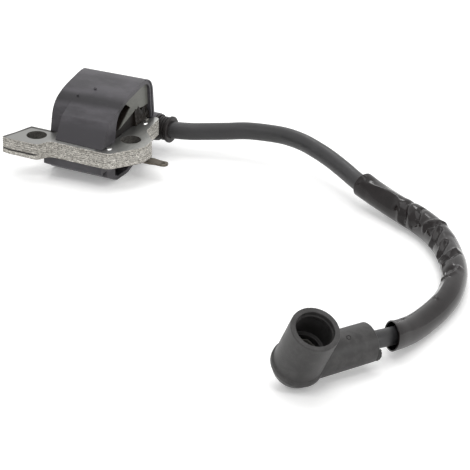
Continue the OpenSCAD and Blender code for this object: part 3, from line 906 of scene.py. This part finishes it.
def bevelled_copy(node: str, name: str, finish: Finish, edge_mm: float) -> bpy.types.Object:
    """Makes a piece with a CAD node's shape and softly rounded edges, and puts it in the node's place.

    Args:
        node: The CAD node.
        name: The new piece's name.
        finish: Its finish.
        edge_mm: How wide the rounded edges are.

    Returns:
        The piece.
    """
    mesh = bmesh.new()
    mesh.from_mesh(FRAME["nodes"][node].data)
    bmesh.ops.remove_doubles(mesh, verts=mesh.verts, dist=2e-6)
    bmesh.ops.dissolve_limit(mesh, angle_limit=math.radians(0.6), verts=mesh.verts, edges=mesh.edges)
    piece = add_piece(name, mesh, finish, 32)
    edges = piece.modifiers.new("edges", "BEVEL")
    edges.limit_method = "ANGLE"
    edges.angle_limit = math.radians(32)
    edges.width = edge_mm * MM
    edges.segments = 2
    edges.use_clamp_overlap = True
    edges.harden_normals = True
    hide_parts(node)
    return piece


# ---- Sub-assemblies ----


@dataclass
class CoilUnit:
    """The core, the case and all that is potted in it. Places and sizes are in mm, in the coil's frame."""

    edge_mm: float = 0.25
    sheet_edge_mm: float = 0.22
    gate: tuple[float, float, float] = (15.4, 20.3, 16.1)
    blister: tuple[float, float, float] = (10.4, 14.9, 14.25)
    mark_tilt: float = 14
    compound_face: float = 29.8
    compound_floor: float = 0.15
    compound_deep: float = 0.8
    compound_step: float = 0.25
    compound_rows: int = 22
    compound_top: tuple[tuple[float, float], ...] = (
        (26.6, 6.9), (27.6, 7.3), (28.7, 6.6), (29.6, 7.4), (30.4, 7.0), (31.1, 5.8), (31.9, 5.1),
        (33, 5.9), (34.4, 5.1), (35.1, 2.9), (36.2, 3.7), (37.4, 3.1), (38.1, 2.0),
    )
    # The mouth's outline from its crown down the back wall, and the bead's section along X and outwards
    bead_line: tuple[tuple[float, float], ...] = (
        (33.2, 17.6), (35.4, 17.1), (37.2, 15.8), (38.35, 13.8), (38.75, 11.5), (39.2, 6), (39.6, 2),
        (39.6, 0.1),
    )
    bead_section: tuple[tuple[float, float], ...] = (
        (29.2, -0.5), (29.2, 0.2), (29.5, 0.8), (30, 0.95), (30.3, 0.7), (30.6, 0.95), (31.1, 0.85),
        (31.3, 0.5), (31.3, -0.5),
    )
    # How many steps the bead takes to grow
    bead_fade: int = 20
    dressed: dict[str, Finish] = field(default_factory=lambda: {
        "core_bottom_sheets": Finish.CORE,
        "core_rivets": Finish.RIVET,
        "potting_resin": Finish.RESIN,
        "primary_bobbin": Finish.BOBBIN,
        "primary_winding": Finish.THICK_WIRE,
        "secondary_bobbin": Finish.NATURAL,
        "secondary_winding": Finish.FINE_WIRE,
        "circuit_board": Finish.BOARD,
        "power_transistor": Finish.COMPONENT,
        "control_chip": Finish.COMPONENT,
        "storage_capacitor": Finish.FILM,
        "board_resistors": Finish.COMPONENT,
        "rectifier_diode": Finish.COMPONENT,
        "primary_leads": Finish.COPPER,
        "ground_strap": Finish.TINNED,
        "kill_terminal": Finish.TERMINAL,
        "hv_contact_pin": Finish.BRASS,
        "lead_gland": Finish.GLAND,
    })

    def build(self) -> list[bpy.types.Object]:
        """Dresses the CAD nodes, rounds the edges of the case and the core, and adds the small forms.

        Returns:
            The unit's pieces.
        """
        pieces = [finish.dress(FRAME["nodes"][node]) for node, finish in self.dressed.items()]
        pieces.append(bevelled_copy("coil_case", "moulded_case", Finish.CASE, self.edge_mm))
        pieces.append(bevelled_copy("core_laminations", "stamped_core", Finish.CORE, self.sheet_edge_mm))
        return pieces + [self.compound(), self.mouth_bead(), *self.mould_marks()]

    def compound(self) -> bpy.types.Object:
        """Builds the rough dark compound that has run into the back corner of the mouth.

        Returns:
            The compound's piece.
        """
        crest = [at_coil(self.compound_face, y, z) for y, z in self.compound_top]
        rings = []
        for top in stretch(crest, 0, len(crest) - 1, self.compound_step * MM):
            jag = 0.5 * MM * noise.noise(top * 1400)
            face = []
            for k in range(self.compound_rows + 1):
                share = k / self.compound_rows
                spot = Vector((top.x, top.y, COIL_ORIGIN.z + self.compound_floor * MM))
                spot.z += (top.z + jag - spot.z) * share
                lump = 0.35 + 0.7 * noise.noise(spot * 600) + 0.25 * noise.noise(spot * 1900)
                spot.x += MM * (0.15 + 0.75 * lump * (1 - share**3))
                face.append(spot)
            back_x = top.x - self.compound_deep * MM
            rings.append(face + [Vector((back_x, top.y, end.z)) for end in (face[-1], face[0])])
        return add_piece("mouth_compound", lattice(rings), Finish.COMPOUND, 50)

    def mouth_bead(self) -> bpy.types.Object:
        """Builds the bead that stiffens the back edge of the case's mouth.

        Returns:
            The bead's piece.
        """
        line = stretch([at_coil(0, y, z) for y, z in self.bead_line], 0, len(self.bead_line) - 1, 0.5 * MM)
        rings = []
        for i, spot in enumerate(line):
            along = (line[min(i + 1, len(line) - 1)] - line[max(i - 1, 0)]).normalized()
            out = along.cross(Vector((-1, 0, 0)))
            grown = min(1, i / self.bead_fade)
            section = [spot + out * h * grown * MM + Vector((x * MM, 0, 0)) for x, h in self.bead_section]
            rings.append(section)
        return add_piece("mouth_bead", lattice(rings), Finish.CASE, 50)

    def mould_marks(self) -> list[bpy.types.Object]:
        """Builds the gate mark and a small blister on the barrel.

        Returns:
            Their pieces.
        """
        gate = [(0, -0.5), (0.6, -0.5), (0.6, 0.02), (0.45, 0.1), (0.3, 0.04), (0.2, -0.15), (0, -0.2)]
        blister = [(0, -0.4), (0.5, -0.4), (0.42, 0), (0.28, 0.09), (0, 0.13)]
        tilted = Matrix.Rotation(math.radians(self.mark_tilt), 4, "X")
        pieces = []
        for name, profile, spot in (("gate_mark", gate, self.gate), ("blister", blister, self.blister)):
            place = Matrix.Translation(at_coil(*spot)) @ tilted
            pieces.append(add_piece(name, turned(profile, 24, place), Finish.CASE, 50))
        return pieces


@dataclass
class Lead:
    """The high-tension lead, from the gland to the boot, with its conductor inside."""

    diameter: float = 7 * MM
    wire_diameter: float = 1.4 * MM
    sides: int = 48
    step: float = 0.7 * MM
    strands: int = 7
    strand_sides: int = 28
    strand_lay: float = 18 * MM

    def path(self) -> Ring:
        """Gives the lead's centreline."""
        route = lead_route()
        return stretch(route, 0, len(route) - 1, self.step)

    def build(self) -> bpy.types.Object:
        """Builds the jacket.

        Returns:
            The jacket's piece.
        """
        path = self.path()

        def radius(i: int, angle: float) -> float:
            """Adds the faint unevenness of an extruded jacket."""
            uneven = noise.noise(path[i] * 90 + Vector((math.cos(angle), 0, 0)))
            return self.diameter / 2 + 0.03 * MM * uneven

        jacket = rings_along(path, self.sides, radius)
        bore = rings_along(path, self.sides, lambda i, angle: self.wire_diameter / 2)
        piece = add_piece("lead", lattice(jacket + bore[::-1], loop=True), Finish.LEAD, 60)
        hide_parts("lead_jacket")
        return piece

    def conductor(self) -> bpy.types.Object:
        """Builds the stranded conductor, a bundle whose lobes twist along the lead.

        Returns:
            The conductor's piece.
        """
        # A little shorter than the jacket at both ends
        path = self.path()[6:-2]
        twist = math.tau / self.strand_lay * self.step

        def radius(i: int, angle: float) -> float:
            """Draws the bundle in between its strands."""
            lobe = math.cos(self.strands * angle + twist * i * self.strands)
            return self.wire_diameter / 2 * (0.93 + 0.06 * lobe)

        bundle = lattice(rings_along(path, self.strand_sides, radius))
        piece = add_piece("lead_strands", bundle, Finish.COPPER, 60)
        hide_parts("lead_conductor")
        return piece


@dataclass(frozen=True)
class Fold:
    """One fold of the sleeve. It follows places that are (mm along the sleeve, degrees round it)."""

    places: tuple[tuple[float, float], ...]
    height: float
    width: float = 0.8

    def rise(self, along: np.ndarray, degrees: np.ndarray, radius: float) -> np.ndarray:
        """Says how far the fold lifts the skin.

        Args:
            along: The skin's places along the sleeve, in mm.
            degrees: Their angles round it.
            radius: The skin's mean radius, in mm.

        Returns:
            The lift of each place, in mm; a crease has a negative one.
        """
        nearest = np.full(np.broadcast(along, degrees).shape, np.inf)
        arc = radius * math.tau / 360
        for (x0, a0), (x1, a1) in zip(self.places, self.places[1:]):
            dx, da = x1 - x0, (a1 - a0) * arc
            px, pa = along - x0, ((degrees - a0 + 180) % 360 - 180) * arc
            share = np.clip((px * dx + pa * da) / (dx * dx + da * da + 1e-9), 0, 1)
            nearest = np.minimum(nearest, np.hypot(px - share * dx, pa - share * da))
        return self.height * np.exp(-((nearest / self.width) ** 1.6))


@dataclass
class Sleeve:
    """The loose vinyl sleeve that has slid down over the bend of the lead. Its skin's sizes are in mm."""

    # Its two ends, counted in the points of the lead's route
    first: float = 12.4
    last: float = 26.95
    bore: float = 8.9
    wall: float = 0.5
    tightest: float = 7.1
    sides: int = 144
    step: float = 0.35 * MM
    slant: float = -3.2
    slant_from: float = 12
    folds: tuple[Fold, ...] = (
        # Long soft ridge with a flat panel on either side
        Fold(((2.7, 46), (7.2, 64), (11.4, 78), (16.2, 92), (21.3, 88), (26.1, 58), (28, 30), (28, -10)),
             0.5, 1.2),
        Fold(((6, 110), (22, 128)), -0.45, 3.2),
        Fold(((7, 18), (14, 36), (22, 40)), -0.45, 3.0),
        # Deep crease behind it, a bulge and the next crease
        Fold(((27.5, 126), (28.4, 84), (30, 50), (31.2, 30), (31, -10)), -0.95, 1.2),
        Fold(((34.6, 38), (35.2, 20)), 0.65, 2.2),
        Fold(((35.5, 100), (39.6, 50), (40.2, 26), (37, 2)), -0.75, 0.9),
        # Ridges on the inner side of the bend
        Fold(((48.6, 130), (47, 88), (45.9, 44)), 0.7, 1.0),
        Fold(((49.4, 96), (49, 60), (48, 34)), -0.9, 0.9),
        Fold(((46.8, 26), (51.9, 58)), 0.45, 0.7),
        Fold(((52.4, 84), (57.6, 28), (55.8, -6)), 0.7, 0.7),
        Fold(((55, 84), (60, 34), (58.4, -4)), -0.8, 0.9),
        Fold(((63.9, 74), (69, 36), (70.2, 6)), 0.75, 0.7),
        Fold(((66.4, 78), (71.6, 42), (72.6, 10)), -0.8, 0.9),
        Fold(((73.2, 106), (77.8, 60), (75, 10)), 0.8, 0.7),
        Fold(((75.6, 116), (80.4, 76), (80, 40)), -0.6, 0.9),
        Fold(((61, 120), (70, 130)), -0.4, 2.4),
        # Pocket with its rim, and small folds below it
        Fold(((91, 78), (93.4, 60)), -1.3, 2.2),
        Fold(((88.6, 112), (94, 96), (97.4, 76), (98.6, 44)), 0.7, 0.9),
        Fold(((77.7, 14), (87.9, 30), (95.5, 48)), 0.5, 0.8),
        Fold(((81, 6), (90, 16), (100, 30)), -0.5, 0.8),
        Fold(((100.1, 72), (110.9, 76), (118.7, 90)), 0.45, 1.0),
        Fold(((103, 40), (112, 52)), -0.35, 1.6),
        Fold(((146.5, 84), (153, 92)), -0.6, 0.7),
    )

    def skin(self, along: np.ndarray, degrees: np.ndarray, whole: float) -> np.ndarray:
        """Finds the radius of the sleeve's bore everywhere.

        Args:
            along: Places along the sleeve, in mm, as a column.
            degrees: Angles round it, as a row.
            whole: The sleeve's length.

        Returns:
            The radius of each place, in mm.
        """
        angle = np.radians(degrees)

        def hump(centre: float, width: float) -> np.ndarray:
            """Rises from 0 to 1 and back about a place along the sleeve."""
            return np.exp(-(((along - centre) / width) ** 2))

        # Wider where it bunches up on the bend, and hanging off the lead to one side
        bunched = hump(40, 42)
        aside = 0.9 * hump(22, 26) * np.cos(angle - math.radians(135))
        sway = 0.35 * np.sin(along / 9 + angle) * np.sin(along / 23 + 2 * angle)
        radius = self.bore / 2 + 0.4 * bunched + aside + 0.25 * bunched * sway
        radius = radius + 0.35 * hump(105, 30) * np.cos(angle - math.pi)
        # The far end flares into an oval
        flare = np.clip((along / whole - 0.72) / 0.28, 0, 1)
        radius = radius + 0.95 * flare**2 * (1 + 0.12 * np.cos(2 * angle + 0.9))
        for fold in self.folds:
            radius = radius + fold.rise(along, degrees, self.bore / 2)
        return np.maximum(radius, self.tightest / 2)

    def build(self) -> bpy.types.Object:
        """Builds the sleeve's skin, outside and in.

        Returns:
            The sleeve's piece.
        """
        path = stretch(lead_route(), self.first, self.last, self.step)
        whole = length_of(path) / MM
        along = np.linspace(0, whole, len(path))[:, None]
        inside = self.skin(along, np.arange(self.sides)[None, :] * 360 / self.sides, whole)

        def bore(i: int, angle: float) -> float:
            """Looks the bore's radius up, in metres."""
            return float(inside[i, round(angle / math.tau * self.sides)]) * MM

        inner = rings_along(path, self.sides, bore)
        outer = rings_along(path, self.sides, lambda i, a: bore(i, a) + self.wall * MM)
        # The last end is cut on a slant
        ahead = (path[-1] - path[-4]).normalized()
        for rings in (inner, outer):
            for ring, place in zip(rings, along[:, 0]):
                share = max(0.0, 1 - (whole - place) / self.slant_from) ** 2
                for j, spot in enumerate(ring):
                    spot += ahead * (self.slant * MM * share * math.cos(math.tau * j / self.sides))
        piece = add_piece("sleeve", lattice(outer + inner[::-1], loop=True), Finish.SLEEVE, 60)
        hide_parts("protective_sleeve")
        return piece


@dataclass
class PlugBoot:
    """The right-angle rubber boot. Sizes are in mm, in its own frame: Z up the socket, X along the arm."""

    mouth_r: float = 9.6
    elbow_r: float = 9.4
    height: float = 22.9
    bore_r: float = 7.5
    bore_depth: float = 13
    seat_r: float = 6
    seat_z: float = 4.6
    arm_len: float = 31.8
    arm_r: float = 7.7
    lead_r: float = 3.6
    ring_x: float = 20.2
    flash: tuple[float, float] = (148, 196)
    flash_steps: int = 26
    voxel: float = 0.26

    def frame(self) -> Matrix:
        """Finds the boot's own frame.

        Returns:
            Its place and axes in the row frame.
        """
        across = SOCKET_AXIS.cross(ARM_AXIS).normalized()
        axes = Matrix((ARM_AXIS, across, SOCKET_AXIS)).transposed().to_4x4()
        return Matrix.Translation(ELBOW) @ axes

    def along_arm(self) -> Matrix:
        """Gives the frame whose Z axis runs along the arm."""
        return self.frame() @ Matrix.Rotation(math.pi / 2, 4, "Y")

    def outer_forms(self) -> list[bmesh.types.BMesh]:
        """Builds the socket with its domed end, and the arm.

        Returns:
            Their meshes.
        """
        dome = [
            (self.elbow_r * math.cos(t), self.elbow_r * math.sin(t))
            for t in (math.radians(-90 + 8 * k) for k in range(9))
        ]
        # A low band runs round the closed end
        edge = [(self.elbow_r + 0.5, -1.4), (self.elbow_r + 0.75, -0.9), (self.elbow_r + 0.75, 1.0),
                (self.elbow_r + 0.1, 1.25), (self.elbow_r + 0.1, 2)]
        rim = [(self.mouth_r, self.height - 3), (self.mouth_r, self.height - 0.15),
               (self.mouth_r - 0.15, self.height), (0, self.height)]
        arm = [(0, 0), (self.arm_r + 0.3, 0), (self.arm_r, self.arm_len - 0.4),
               (self.arm_r - 0.4, self.arm_len), (0, self.arm_len)]
        return [turned(dome + edge + rim, 96, self.frame()), turned(arm, 96, self.along_arm())]

    def inner_forms(self) -> list[bmesh.types.BMesh]:
        """Builds the bores for the plug, the spring and the lead.

        Returns:
            The meshes to cut away.
        """
        floor, top = self.height - self.bore_depth, self.height
        socket = [(0, self.seat_z), (self.seat_r, self.seat_z), (self.seat_r, floor), (self.bore_r, floor),
                  (self.bore_r, top - 3.4), (self.bore_r - 0.4, top - 3), (self.bore_r - 0.4, top - 2.2),
                  (self.bore_r, top - 1.8), (self.bore_r, top + 0.5), (0, top + 0.5)]
        lead = [(0, LEAD_STOP / MM), (self.lead_r, LEAD_STOP / MM), (self.lead_r, self.arm_len + 1),
                (0, self.arm_len + 1)]
        channel = [(0, 0), (1.2, 0), (1.2, self.arm_len - 1), (0, self.arm_len - 1)]
        return [turned(socket, 96, self.frame()), turned(lead, 64, self.along_arm()),
                turned(channel, 24, self.along_arm())]

    def build(self) -> bpy.types.Object:
        """Cuts the forms from each other and softens the result as moulded rubber is.

        Returns:
            The boot's piece.
        """
        meshes = self.outer_forms() + self.inner_forms()
        forms = [add_piece(f"boot_form_{i}", mesh, Finish.BOOT) for i, mesh in enumerate(meshes)]
        outer, arm, *bores = forms
        for tool, operation in [(arm, "UNION")] + [(bore, "DIFFERENCE") for bore in bores]:
            cut = outer.modifiers.new(tool.name, "BOOLEAN")
            cut.object = tool
            cut.operation = operation
            cut.solver = "EXACT"
        remesh = outer.modifiers.new("remesh", "REMESH")
        remesh.mode = "VOXEL"
        remesh.voxel_size = self.voxel * MM
        soften = outer.modifiers.new("soften", "SMOOTH")
        soften.factor = 0.5
        soften.iterations = 2
        bpy.context.view_layer.update()
        shape = bpy.data.meshes.new_from_object(outer.evaluated_get(bpy.context.evaluated_depsgraph_get()))
        for form in forms:
            bpy.data.objects.remove(form)
        mesh = bmesh.new()
        mesh.from_mesh(shape)
        bpy.data.meshes.remove(shape)
        piece = add_piece("boot", mesh, Finish.BOOT, 80)
        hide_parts("plug_boot")
        Finish.SPRING.dress(FRAME["nodes"]["plug_spring"])
        return piece

    def marks(self) -> list[bpy.types.Object]:
        """Builds the ring mark on the arm, dark with painted shade, and the torn flash at its end.

        Returns:
            Their pieces.
        """
        ring = [(0, -0.4), (1.05, -0.4), (1.05, 0.1), (0.85, 0.25), (0.62, 0.1), (0.5, -0.1), (0, -0.1)]
        place = self.frame() @ Matrix.Translation(Vector((self.ring_x, 0.3, self.arm_r)) * MM)
        first, last = self.flash
        rings = []
        for k in range(self.flash_steps + 1):
            share = k / self.flash_steps
            turn = math.radians(first + (last - first) * k / self.flash_steps)
            across, up = math.cos(turn), math.sin(turn)
            grown = 0.35 + 0.5 * math.sin(math.pi * share) + 0.35 * noise.noise(Vector((k * 0.6, 0, 0)))
            section = ((-1, -0.5), (-1, -0.1), (0.1, 0.5 * grown), (0.9 * grown, 0.45 * grown), (0.5, -0.6))
            away = [(self.arm_len + x, self.arm_r + r) for x, r in section]
            rings.append([self.frame() @ (Vector((x, r * across, r * up)) * MM) for x, r in away])
        return [
            add_piece("boot_ring_mark", turned(ring, 32, place), Finish.BOOT_MARK, 60),
            add_piece("boot_flash", lattice(rings), Finish.BOOT_MARK, 50),
        ]


# ---- Studio ----


@dataclass(frozen=True)
class Lamp:
    """A square soft lamp that shines at the part."""

    name: str
    azimuth: float
    elevation: float
    side: float
    watts: float
    distance: float = 1.3

    def build(self, target: Vector) -> None:
        """Hangs the lamp.

        Args:
            target: What it shines at.
        """
        data = bpy.data.lights.new(self.name, "AREA")
        data.shape = "SQUARE"
        data.size = self.side
        data.energy = self.watts
        lamp = put(self.name, data)
        away = direction(self.azimuth, self.elevation)
        lamp.location = target + away * self.distance
        lamp.rotation_mode = "QUATERNION"
        lamp.rotation_quaternion = away.to_track_quat("Z", "Y")


def direction(azimuth: float, elevation: float) -> Vector:
    """Points from the part towards an eye that looks at it from that azimuth and elevation, in degrees."""
    a, e = math.radians(azimuth), math.radians(elevation)
    return Vector((math.sin(a) * math.cos(e), -math.cos(a) * math.cos(e), math.sin(e)))


@dataclass
class Studio:
    """A pale floor, soft lamps and the camera."""

    azimuth: float = 29.0
    elevation: float = 24.4
    distance: float = 2.2
    focal_px: float = 5500.0
    frame_px: float = 470.0
    hole_px: tuple[float, float] = (36.7, 135.0)
    floor_side: float = 12.0
    floor_colour: Rgb = (0.95, 0.95, 0.945)
    ambient: float = 0.72
    floor_glow: float = 0.22
    lamps: tuple[Lamp, ...] = (
        Lamp("overhead", 190, 80, 1.0, 5.5),
        Lamp("front_key", 44, 58, 0.26, 2.2),
        Lamp("left_key", -40, 50, 0.2, 1.0),
        Lamp("right_low", 92, 17, 0.42, 2.6),
        Lamp("back_strip", 206, 38, 0.22, 1.0),
    )

    def camera(self) -> None:
        """Sets the camera so that the left mounting hole falls where the photograph has it."""
        back = direction(self.azimuth, self.elevation)
        right = Vector((0, 0, 1)).cross(back).normalized()
        up = back.cross(right)
        off = [(px - self.frame_px / 2) / self.focal_px * self.distance for px in self.hole_px]
        data = bpy.data.cameras.new("camera")
        data.lens = data.sensor_width * self.focal_px / self.frame_px
        data.clip_start = 0.1
        data.clip_end = 60
        eye = put("camera", data)
        eye.location = COIL_ORIGIN - right * off[0] + up * off[1] + back * self.distance
        eye.rotation_mode = "QUATERNION"
        eye.rotation_quaternion = back.to_track_quat("Z", "Y")
        bpy.context.scene.camera = eye

    def floor(self) -> None:
        """Lays the floor."""
        mesh = bmesh.new()
        bmesh.ops.create_grid(mesh, x_segments=8, y_segments=8, size=self.floor_side / 2)
        data = bpy.data.meshes.new("floor")
        mesh.to_mesh(data)
        mesh.free()
        net = Net("floor_paper")
        tone = net.blend(net.grain(0.3, 3), dimmed(self.floor_colour, 0.995), self.floor_colour)
        glow = net.blend(net.background_rays(), (0, 0, 0), dimmed((1, 1, 1), self.floor_glow))
        data.materials.append(net.done(Base_Color=tone, Roughness=0.6, Specular_IOR_Level=0.25,
                                       Emission_Color=glow, Emission_Strength=1))
        put("floor", data)

    def world(self) -> None:
        """Surrounds the part with even light, and with white where it shows or is reflected."""
        world = bpy.data.worlds.new("studio")
        bpy.context.scene.world = world
        world.use_nodes = True
        world.node_tree.nodes.clear()
        sky = NodeTree(world.node_tree)
        level = self.ambient + (1 - self.ambient) * sky.background_rays()
        light = sky.signal("ShaderNodeBackground", None, {"Color": (1, 1, 1), "Strength": level})
        sky.node("ShaderNodeOutputWorld", None, {"Surface": light})

    def build(self) -> None:
        """Sets up the camera, the floor and the light."""
        self.camera()
        self.floor()
        self.world()
        low, high = CAD_BOX
        for lamp in self.lamps:
            lamp.build((low + high) / 2)
        bpy.context.scene.view_settings.view_transform = "Standard"


def report(unit: str, *pieces: bpy.types.Object) -> None:
    """Logs the pieces of a sub-assembly."""
    for piece in pieces:
        LOG.info("%s: %s, %d faces", unit, piece.name, len(piece.data.polygons))


def main() -> None:
    """Builds the studio and every sub-assembly, in order."""
    logging.basicConfig(level=logging.INFO, format="%(name)s: %(message)s")
    Studio().build()
    lead = Lead()
    jacket = lead.build()
    strands = lead.conductor()
    report("lead", jacket, strands)
    sleeve = Sleeve().build()
    report("sleeve", sleeve)
    plug_boot = PlugBoot()
    boot = plug_boot.build()
    marks = plug_boot.marks()
    report("plug boot", boot, *marks, FRAME["nodes"]["plug_spring"])
    report("coil unit", *CoilUnit().build())
    length_of(lead.path())
    lead.path()


if __name__ == "__main__":
    main()
